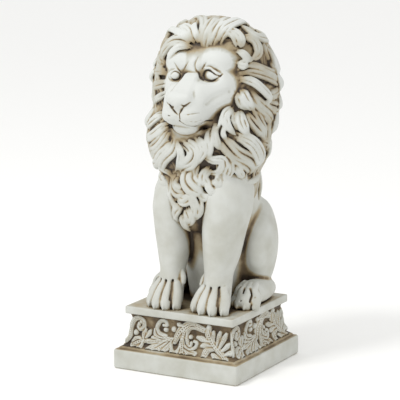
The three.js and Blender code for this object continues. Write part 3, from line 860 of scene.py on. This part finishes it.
# The carved band on one face, drawn in mm from the face's middle and from the band's foot:
# half width and route of each scroll and blade, and the centre of each ball
friezeDrawing = {
    "scroll": [
        (4.9, [(-123, 12), (-116, 22), (-116, 39), (-109, 55), (-98, 61), (-87, 56), (-85, 44), (-93, 38),
               (-98, 42), (-95, 50)]),
        (4.2, [(-33, 30), (-48, 34), (-54, 44), (-50, 55), (-42, 62), (-33, 61), (-31, 54), (-38, 53)]),
        (4.4, [(55, 52), (34, 57), (21, 52), (16, 39), (19, 24), (26, 18), (28, 24)]),
        (3.9, [(4, 24), (2, 10), (-6, 1), (-14, 4), (-18, 13)]),
        (3.6, [(12, 17), (27, 12), (38, 17), (40, 26), (34, 28)]),
    ],
    "blade": [
        (6.5, [(57, 55), (32, 63), (16, 58), (-2, 40), (-11, 22)]),
        (5.2, [(24, 59), (12, 47), (5, 28)]),
        (3.9, [(12, 57), (1, 57), (-4, 60)]),
        (5.9, [(7, 30), (8, 15), (13, 0)]),
        (4.7, [(14, 9), (29, 4), (41, 5)]),
        (5.2, [(-16, 26), (-43, 20), (-73, 15)]),
        (4.4, [(-33, 22), (-49, 12), (-71, 1)]),
        (4.2, [(-26, 20), (-39, 10), (-52, 0)]),
        (4.2, [(-18, 22), (-28, 10), (-35, 0)]),
        (3.9, [(-18, 24), (-19, 14), (-26, 5)]),
        (3.9, [(-26, 27), (-44, 27), (-56, 31), (-59, 41)]),
        (3.9, [(-43, 22), (-53, 24), (-64, 24)]),
        (6.5, [(114, 0), (91, 17), (74, 32), (66, 50), (68, 62)]),
        (4.2, [(71, 32), (56, 34), (41, 37)]),
        (4.2, [(76, 25), (62, 24), (52, 21)]),
        (5.5, [(82, 19), (66, 14), (60, -1)]),
        (4.2, [(79, 29), (76, 40), (78, 53)]),
        (4.2, [(86, 25), (89, 39), (93, 54)]),
        (4.2, [(92, 20), (98, 35), (107, 52)]),
        (3.9, [(97, 15), (107, 24), (114, 32)]),
        (3.9, [(106, 9), (116, 14), (124, 14)]),
        (3.9, [(107, 0), (94, 2), (79, 8)]),
        (5.2, [(-71, 17), (-88, 15), (-108, 6)]),
        (4.4, [(-83, 17), (-84, 27), (-81, 38)]),
        (3.9, [(-79, 22), (-74, 29), (-69, 37)]),
        (4.4, [(-84, 14), (-88, 5), (-94, 0)]),
        (3.9, [(-89, 19), (-99, 19), (-108, 12)]),
    ],
    "ball": [
        (6.5, [(-103, 30)]),
        (5.9, [(-33, 44)]),
        (6.5, [(-14, 47)]),
        (5.2, [(25, 36)]),
        (5.9, [(68, 61)]),
        (5.2, [(-90, 54)]),
    ],
}


def slabBox(half, bottom, top, edge):  # a square block with soft edges
    def distance(x, y, z):
        qx, qy = np.abs(x) - (half - edge), np.abs(y) - (half - edge)
        qz = np.abs(z - 0.5 * (bottom + top)) - (0.5 * (top - bottom) - edge)
        return softBox(qx, qy, qz, edge)

    return [-half, -half, bottom], [half, half, top], distance


def friezeHalf(share):
    stations = np.array(friezeProfile)
    fine = np.linspace(-0.2, 1.2, 281)
    line = smoothed(np.interp(fine, stations[:, 0], stations[:, 1]), 12)
    return stand["slabWidth"] / 2 - np.interp(share, fine, line)


def friezeBody():
    bottom, top = friezeFoot - 2, friezeFoot + friezeHeight + 2

    def distance(x, y, z):
        half = friezeHalf((z.ravel() - friezeFoot) / friezeHeight)[None, None, :] - relief["coreInset"]
        side = np.maximum(np.abs(x), np.abs(y)) - half
        return np.maximum(side, np.maximum(bottom - z, z - top)).astype(np.float32)

    reach = stand["slabWidth"] / 2 + relief["height"]
    return [-reach, -reach, bottom], [reach, reach, top], distance


def plinthField():
    block = Block(*stand["grid"])
    base = stand["baseWidth"] / 2
    block.join(slabBox(base, 0, stand["baseHeight"], stand["softEdge"]), 0.5)
    ledge = base - stand["ledgeInset"]
    block.join(slabBox(ledge, stand["ledgeRoot"], friezeFoot, stand["ledgeEdge"]), 1.5)
    block.join(friezeBody(), 1.5)
    slab = stand["slabWidth"] / 2
    block.join(slabBox(slab, slabTop - stand["slabHeight"], slabTop, stand["slabEdge"]), 0.8)
    return block


def strokeRise(x, z, route, radius, veined):  # how far one stroke stands out over each place on the face
    best = np.zeros(np.broadcast(x, z).shape)
    hair, more, stoutRadius = relief["thinRise"]
    for a, b, ra, rb in zip(route[:-1], route[1:], radius[:-1], radius[1:]):
        run = b - a
        t = np.clip(((x - a[0]) * run[0] + (z - a[1]) * run[1]) / max(float(run @ run), 1e-6), 0, 1)
        r = ra + (rb - ra) * t
        q = np.sqrt((x - a[0] - t * run[0]) ** 2 + (z - a[1] - t * run[1]) ** 2) / r
        dome = np.sqrt(np.maximum(1 - q * q, 0))
        if veined:
            cuts = sum(deep * np.exp(-((q - at) / wide) ** 2) for at, wide, deep in relief["veins"])
            dome = dome - relief["vein"] * cuts
        best = np.maximum(best, dome * (hair + more * np.minimum(r / stoutRadius, 1)))
    return best


def friezeRise(x, z):
    total = np.zeros(np.broadcast(x, z).shape)
    for kind, profile in relief["profile"].items():
        for width, route in friezeDrawing[kind]:
            route = smoothPath(route, 4)
            stout = width * relief["fullness"][kind]
            radius = stout * np.interp(np.linspace(0, 1, len(route)), [0, 0.35, 0.7, 1], profile)
            total = np.maximum(total, strokeRise(x, z, route, radius, True))
    for width, spot in friezeDrawing["ball"]:
        ball = np.array(spot * 2, dtype=float)
        total = np.maximum(total, relief["ballRise"] * strokeRise(x, z, ball, [width, width], False))
    return relief["height"] * total


def panelField():  # one face of the carved band, mitred at its ends
    half = stand["slabWidth"] / 2
    spare = relief["spare"]
    low = [-half - spare, -half - spare, friezeFoot - 2]
    high = [half + spare, -half + relief["backing"] + 3, friezeFoot + friezeHeight + 2]
    block = Block(low, high, relief["step"])
    x, y, z = (axis.reshape([-1 if n == k else 1 for n in range(3)]) for k, axis in enumerate(block.axes))
    up = (z.ravel() - friezeFoot)
    rise = friezeRise(block.axes[0][:, None], up[None, :])
    front = friezeHalf(up / friezeHeight)[None, :] + rise
    values = (-y - front[:, None, :]) * 0.8  # the relief is steep
    values = np.maximum(values, y + half - relief["backing"])
    values = np.maximum(values, (np.abs(x) + y - relief["mitreGap"]) / relief["mitreSlope"])
    bottom, top = friezeFoot - 1, friezeFoot + friezeHeight + 1
    block.values = np.maximum(values, np.maximum(bottom - z, z - top)).astype(np.float32)
    return block


# Repeats one carved face round the plinth
def bandTree():
    tree = bpy.data.node_groups.new("carved_band", "GeometryNodeTree")
    tree.interface.new_socket("Panel", in_out="INPUT", socket_type="NodeSocketGeometry")
    tree.interface.new_socket("Faces", in_out="INPUT", socket_type="NodeSocketInt")
    tree.interface.new_socket("Stone", in_out="INPUT", socket_type="NodeSocketMaterial")
    tree.interface.new_socket("Band", in_out="OUTPUT", socket_type="NodeSocketGeometry")
    given = addNode(tree, "NodeGroupInput")
    faces = given.outputs["Faces"]
    points = addNode(tree, "GeometryNodePoints", links={"Count": faces}).outputs[0]
    order = addNode(tree, "GeometryNodeInputIndex").outputs[0]
    step = addNode(tree, "ShaderNodeMath", {0: math.tau}, {1: faces}, operation="DIVIDE").outputs[0]
    turn = addNode(tree, "ShaderNodeMath", {}, {0: order, 1: step}, operation="MULTIPLY").outputs[0]
    about = addNode(tree, "ShaderNodeCombineXYZ", links={"Z": turn}).outputs[0]
    panel = given.outputs["Panel"]
    copies = addNode(tree, "GeometryNodeInstanceOnPoints",
                     links={"Points": points, "Instance": panel, "Rotation": about}).outputs[0]
    real = addNode(tree, "GeometryNodeRealizeInstances", links={"Geometry": copies}).outputs[0]
    stone = addNode(tree, "GeometryNodeSetMaterial",
                    links={"Geometry": real, "Material": given.outputs["Stone"]}).outputs[0]
    addNode(tree, "NodeGroupOutput", links={"Band": stone})
    return tree


def carvedBand(panel, material):
    tree = bandTree()
    modifier = panel.modifiers.new("band", "NODES")
    modifier.node_group = tree
    sockets = {item.name: item.identifier for item in tree.interface.items_tree if item.in_out == "INPUT"}
    modifier[sockets["Faces"]] = 4
    modifier[sockets["Stone"]] = material
    evaluated = panel.evaluated_get(bpy.context.evaluated_depsgraph_get())
    panel.data = bpy.data.meshes.new_from_object(evaluated)
    panel.modifiers.clear()
    return panel


def joinInto(piece, other):
    with bpy.context.temp_override(active_object=piece, selected_editable_objects=[piece, other]):
        bpy.ops.object.join()


# Skinning and toning

def boxBlur(values, reach):
    for axis in range(3):
        ends = [(reach + 1, reach) if n == axis else (0, 0) for n in range(3)]
        padded = np.pad(values, ends, mode="edge")
        summed = np.cumsum(padded, axis=axis, dtype=np.float64)
        width = 2 * reach + 1
        ahead = np.take(summed, range(width, summed.shape[axis]), axis=axis)
        behind = np.take(summed, range(summed.shape[axis] - width), axis=axis)
        values = ((ahead - behind) / width).astype(np.float32)
    return values


def solidShare(block):  # 1 inside, 0 outside, soft over one step
    return np.clip(0.5 - block.values / block.step, 0, 1)


def makeMesh(name, points, quads):
    mesh = bpy.data.meshes.new(name)
    mesh.vertices.add(len(points))
    mesh.vertices.foreach_set("co", points.astype(np.float32).ravel())
    mesh.loops.add(quads.size)
    mesh.loops.foreach_set("vertex_index", quads.astype(np.int32).ravel())
    mesh.polygons.add(len(quads))
    mesh.polygons.foreach_set("loop_start", np.arange(0, quads.size, 4, dtype=np.int32))
    mesh.update(calc_edges=True)
    piece = bpy.data.objects.new(name, mesh)
    bpy.context.scene.collection.objects.link(piece)
    return piece


def thin(piece, triangles):  # fewer faces where the surface is smooth
    modifier = piece.modifiers.new("thin", "DECIMATE")
    modifier.ratio = min(1, triangles / (2 * len(piece.data.polygons)))
    evaluated = piece.evaluated_get(bpy.context.evaluated_depsgraph_get())
    piece.data = bpy.data.meshes.new_from_object(evaluated)
    piece.modifiers.clear()
    return piece


def pointsOf(piece):
    points = np.empty(3 * len(piece.data.vertices), dtype=np.float32)
    piece.data.vertices.foreach_get("co", points)
    return points.reshape(-1, 3)


def setTone(piece, name, values, rounds=0):
    edges = np.empty(2 * len(piece.data.edges), dtype=np.int32)
    piece.data.edges.foreach_get("vertices", edges)
    a, b = edges[::2], edges[1::2]
    for _ in range(rounds):  # spread softly along the surface
        total = np.bincount(a, values[b], len(values)) + np.bincount(b, values[a], len(values))
        count = np.bincount(a, minlength=len(values)) + np.bincount(b, minlength=len(values))
        values = 0.4 * values + 0.6 * total / np.maximum(count, 1)
    attribute = piece.data.attributes.new(name, "FLOAT", "POINT")
    attribute.data.foreach_set("value", values.astype(np.float32))


toning = {
    "reach": 2,  # in steps of the piece's own grid
    "ground": (3, 0.135),  # the band's ground holds the wash too: up to this height, and how much
    "levels": [(slabTop - 0.8, 140, 0.535), (39.5, friezeFoot + 1, 0.56), (-1, 2.5, 0.54)],  # so do these
    "fromFace": (2, 4),  # the wash and painted shade between locks start this far from the face, and are full this far on
    "rounds": {"carved_panel": 1},
}


def toneCrevices(piece, block):  # about how hollow the surface is close by, over 0.5 in a hollow
    points = pointsOf(piece) / mm
    fine = sampleGrid(boxBlur(solidShare(block), toning["reach"]), block.low, block.step, points)
    if piece.name == "carved_panel":
        height, darkening = toning["ground"]
        ground = 1 - np.clip(friezeRise(points[:, 0], points[:, 2] - friezeFoot) / height, 0, 1)
        fine = np.maximum(fine, 0.5 + darkening * ground)
    if piece.name == "carved_plinth":
        level = points[:, 2]
        for low, high, value in toning["levels"]:
            fine = np.where((level > low) & (level < high), np.maximum(fine, value), fine)
    setTone(piece, "crevice", fine, toning["rounds"].get(piece.name, 2))


def toneHollows(piece, shares):  # how hollow it is more broadly, at two sizes, for the brown wash and painted shade in the hollows
    points = pointsOf(piece) / mm
    for name, values in shares.items():
        setTone(piece, name, sampleGrid(values, coarseLow, coarse["step"], points))


def toneGaps(piece):  # how far down between the locks it is, away from the face, for the brown wash and painted shade there
    points = pointsOf(piece) / mm - np.array(lionPlace)
    down = 1 - outsideMass(points) / mane["height"]
    fromFace = np.full(len(points), farAway)
    for centre, radii, softness in headForms:
        gap = (np.linalg.norm((points - centre) / np.array(radii), axis=1) - 1) * min(radii)
        fromFace = np.minimum(fromFace, gap)
    near, more = toning["fromFace"]
    setTone(piece, "gap", np.clip(down, 0, 1) * np.clip((fromFace - near) / more, 0, 1), 2)


def placed(block, offset):
    block.low = block.low + np.array(offset, dtype=np.float32)
    block.axes = [axis + shift for axis, shift in zip(block.axes, offset)]
    return block


# All the forms together on a coarse grid
coarse = {"step": 3.0, "low": (-156, -182, -12), "high": (160, 156, 740)}
coarseLow = np.array(coarse["low"], dtype=np.float32)


def wholeForm(blocks):
    corners = zip(coarse["low"], coarse["high"])
    axes = [np.arange(low, high, coarse["step"], dtype=np.float32) for low, high in corners]
    together = np.zeros([len(axis) for axis in axes], dtype=np.float32)
    for block in blocks:
        spans, picks = [], []
        for axis, own in zip(axes, block.axes):
            index = np.round((axis - own[0]) / block.step).astype(int)
            keep = np.where((index >= 0) & (index < len(own)))[0]
            spans.append(keep)
            picks.append(index[keep])
        share = solidShare(block)[np.ix_(*picks)]
        together[np.ix_(*spans)] = np.maximum(together[np.ix_(*spans)], share)
    return together


# Materials

def linear(code):  # an sRGB hex colour as linear numbers
    channels = [int(code[i:i + 2], 16) / 255 for i in (1, 3, 5)]
    return [c / 12.92 if c <= 0.04045 else ((c + 0.055) / 1.055) ** 2.4 for c in channels] + [1]


def addNode(tree, kind, inputs=None, links=None, **settings):
    node = tree.nodes.new(kind)
    for key, value in settings.items():
        setattr(node, key, value)
    for key, value in (inputs or {}).items():
        node.inputs[key].default_value = value
    for key, source in (links or {}).items():
        tree.links.new(source, node.inputs[key])
    return node


stoneLook = {
    "tones": [(0.0, "#cfd1cd"), (0.12, "#b6b6ac"), (0.34, "#a09173"), (0.62, "#6c5a3f"), (1.0, "#34281b")],
    "crevice": (0.507, 0.7, 0.95),  # where the wash starts, where it is full, and how strong it is
    # hollow, depth and gap darken the broader hollows and the gaps between the locks: brown wash and
    # painted shade together
    "hollow": (0.56, 0.82, 0.45),
    "depth": (0.56, 0.74, 0.75),
    "gap": (0.15, 1.0, 0.5),
    "lowerShade": (0.3, 0.6, 0.08),  # painted shade: darker lower down, where less light falls from above, between these heights in metres
    "patchSize": 38,
    "patchStrength": 0.5,
    "grainSize": 1.6,
    "grainDepth": 0.6,
    "grainStrength": 0.12,
    "roughness": 0.62,
}


# Cast stone: crushed marble in cement, rubbed with a brown wash that stays in the hollows; painted shade
# darkens the broad hollows, the gaps between the locks and the lower parts too
def castStone():
    material = bpy.data.materials.new("antique_cast_stone")
    material.use_nodes = True
    tree = material.node_tree
    tree.nodes.clear()
    place = addNode(tree, "ShaderNodeTexCoord").outputs["Object"]
    darkening = None
    # the brown wash in the fine creases, plus painted shade from the broad hollows and the gaps between
    # locks
    for name in ("crevice", "hollow", "depth", "gap"):
        start, full, strength = stoneLook[name]
        level = addNode(tree, "ShaderNodeAttribute", attribute_name=name).outputs["Fac"]
        level = addNode(tree, "ShaderNodeMapRange", {1: start, 2: full, 4: strength}, {0: level}).outputs[0]
        if darkening:
            level = addNode(tree, "ShaderNodeMath", {}, {0: darkening, 1: level}, operation="ADD").outputs[0]
        darkening = level
    # painted shade: the lower parts darkened as if less light reached them from above
    low, high, strength = stoneLook["lowerShade"]
    height = addNode(tree, "ShaderNodeSeparateXYZ", {}, {0: place}).outputs["Z"]
    level = addNode(tree, "ShaderNodeMapRange", {1: high, 2: low, 4: strength}, {0: height}).outputs[0]
    darkening = addNode(tree, "ShaderNodeMath", {}, {0: darkening, 1: level}, operation="ADD").outputs[0]
    patches = addNode(tree, "ShaderNodeTexNoise", {"Scale": 1 / (stoneLook["patchSize"] * mm), "Detail": 6},
                      {"Vector": place}).outputs["Fac"]
    strength = stoneLook["patchStrength"]
    uneven = addNode(tree, "ShaderNodeMapRange", {1: 0.3, 2: 0.7, 3: 1 - strength, 4: 1 + strength},
                     {0: patches}).outputs[0]
    darkening = addNode(tree, "ShaderNodeMath", {}, {0: darkening, 1: uneven}, operation="MULTIPLY", use_clamp=True)
    ramp = addNode(tree, "ShaderNodeValToRGB", {}, {"Fac": darkening.outputs[0]})
    stops = ramp.color_ramp.elements
    while len(stops) < len(stoneLook["tones"]):
        stops.new(0.5)
    for stop, (share, code) in zip(stops, stoneLook["tones"]):
        stop.position = share
        stop.color = linear(code)
    grain = addNode(tree, "ShaderNodeTexNoise", {"Scale": 1 / (stoneLook["grainSize"] * mm), "Detail": 3},
                    {"Vector": place}).outputs["Fac"]
    bump = addNode(tree, "ShaderNodeBump", {"Strength": stoneLook["grainStrength"],
                                            "Distance": stoneLook["grainDepth"] * mm}, {"Height": grain})
    shader = addNode(tree, "ShaderNodeBsdfPrincipled", {"Roughness": stoneLook["roughness"]},
                     {"Base Color": ramp.outputs["Color"], "Normal": bump.outputs["Normal"]})
    addNode(tree, "ShaderNodeOutputMaterial", {}, {"Surface": shader.outputs["BSDF"]})
    return material


# Sculpting

stone = castStone()
blocks = {"lion_body": placed(bodyField(), lionPlace)}
print("body sculpted")
blocks["lion_head_and_mane"] = placed(maneField(), lionPlace)
print("head and mane sculpted")
blocks["carved_plinth"] = plinthField()
panelBlock = panelField()
print("plinth sculpted")

whole = wholeForm(blocks.values())
# hollowness at two broad sizes, for the brown wash and painted shade in the hollows
shares = {"hollow": boxBlur(boxBlur(whole, 3), 2), "depth": boxBlur(boxBlur(whole, 8), 5)}
triangleGoal = {
    "lion_body": 90000,
    "lion_head_and_mane": 190000,
    "carved_plinth": 24000,
    "carved_panel": 36000,
}
pieces = {}


def skinned(name, block):
    points, quads = skinOf(block)
    piece = makeMesh(name, points * mm, quads)
    thin(piece, triangleGoal[name])
    toneCrevices(piece, block)
    return piece


for name, block in blocks.items():
    pieces[name] = skinned(name, block)
joinInto(pieces["carved_plinth"], carvedBand(skinned("carved_panel", panelBlock), stone))
for name, piece in pieces.items():
    toneHollows(piece, shares)
    if name == "lion_head_and_mane":
        toneGaps(piece)
    piece.data.polygons.foreach_set("use_smooth", np.ones(len(piece.data.polygons), dtype=bool))
    piece.data.materials.clear()
    piece.data.materials.append(stone)
    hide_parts("lion_on_plinth")
    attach(piece, "root")
    print(name, "has", len(piece.data.polygons), "faces")


# Floor, light and camera
studio = {
    "floorColour": "#fcfcfa",
    "floorRoughness": 0.9,
    "floorReach": 60,
    "aim": (0, 0, 0.4),
    "air": 0.92,
    "lamps": [("key", (-0.9, -1.9, 3.3), 0.8, 48), ("fill", (2.6, -1.4, 1.2), 2.2, 2)],
}


def addStudio():
    mesh = bpy.data.meshes.new("studio_floor")
    far = studio["floorReach"]
    mesh.from_pydata([(-far, -far, 0), (far, -far, 0), (far, far, 0), (-far, far, 0)], [], [(0, 1, 2, 3)])
    floor = bpy.data.objects.new("studio_floor", mesh)
    bpy.context.scene.collection.objects.link(floor)
    paper = bpy.data.materials.new("floor_paper")
    paper.use_nodes = True
    surface = paper.node_tree.nodes["Principled BSDF"]
    surface.inputs["Base Color"].default_value = linear(studio["floorColour"])
    surface.inputs["Roughness"].default_value = studio["floorRoughness"]
    mesh.materials.append(paper)
    world = bpy.data.worlds.new("studio_air")
    bpy.context.scene.world = world
    world.use_nodes = True
    air = world.node_tree.nodes["Background"]
    air.inputs["Color"].default_value = (1, 1, 1, 1)
    air.inputs["Strength"].default_value = studio["air"]
    for name, place, size, power in studio["lamps"]:
        lamp = bpy.data.lights.new(name, "AREA")
        lamp.size, lamp.energy = size, power
        holder = bpy.data.objects.new(name, lamp)
        holder.location = place
        holder.rotation_euler = (Vector(studio["aim"]) - Vector(place)).to_track_quat("-Z", "Y").to_euler()
        bpy.context.scene.collection.objects.link(holder)


def addCamera():
    eye, right, up, back = viewAxes()
    lens = bpy.data.cameras.new("camera")
    lens.lens, lens.sensor_width = view["lens"], view["sensor"]
    holder = bpy.data.objects.new("camera", lens)
    holder.location = eye
    holder.rotation_euler = (-back).to_track_quat("-Z", "Y").to_euler()
    bpy.context.scene.collection.objects.link(holder)
    bpy.context.scene.camera = holder


addStudio()
addCamera()
bpy.context.scene.view_settings.view_transform = "Standard"
print("scene ready")
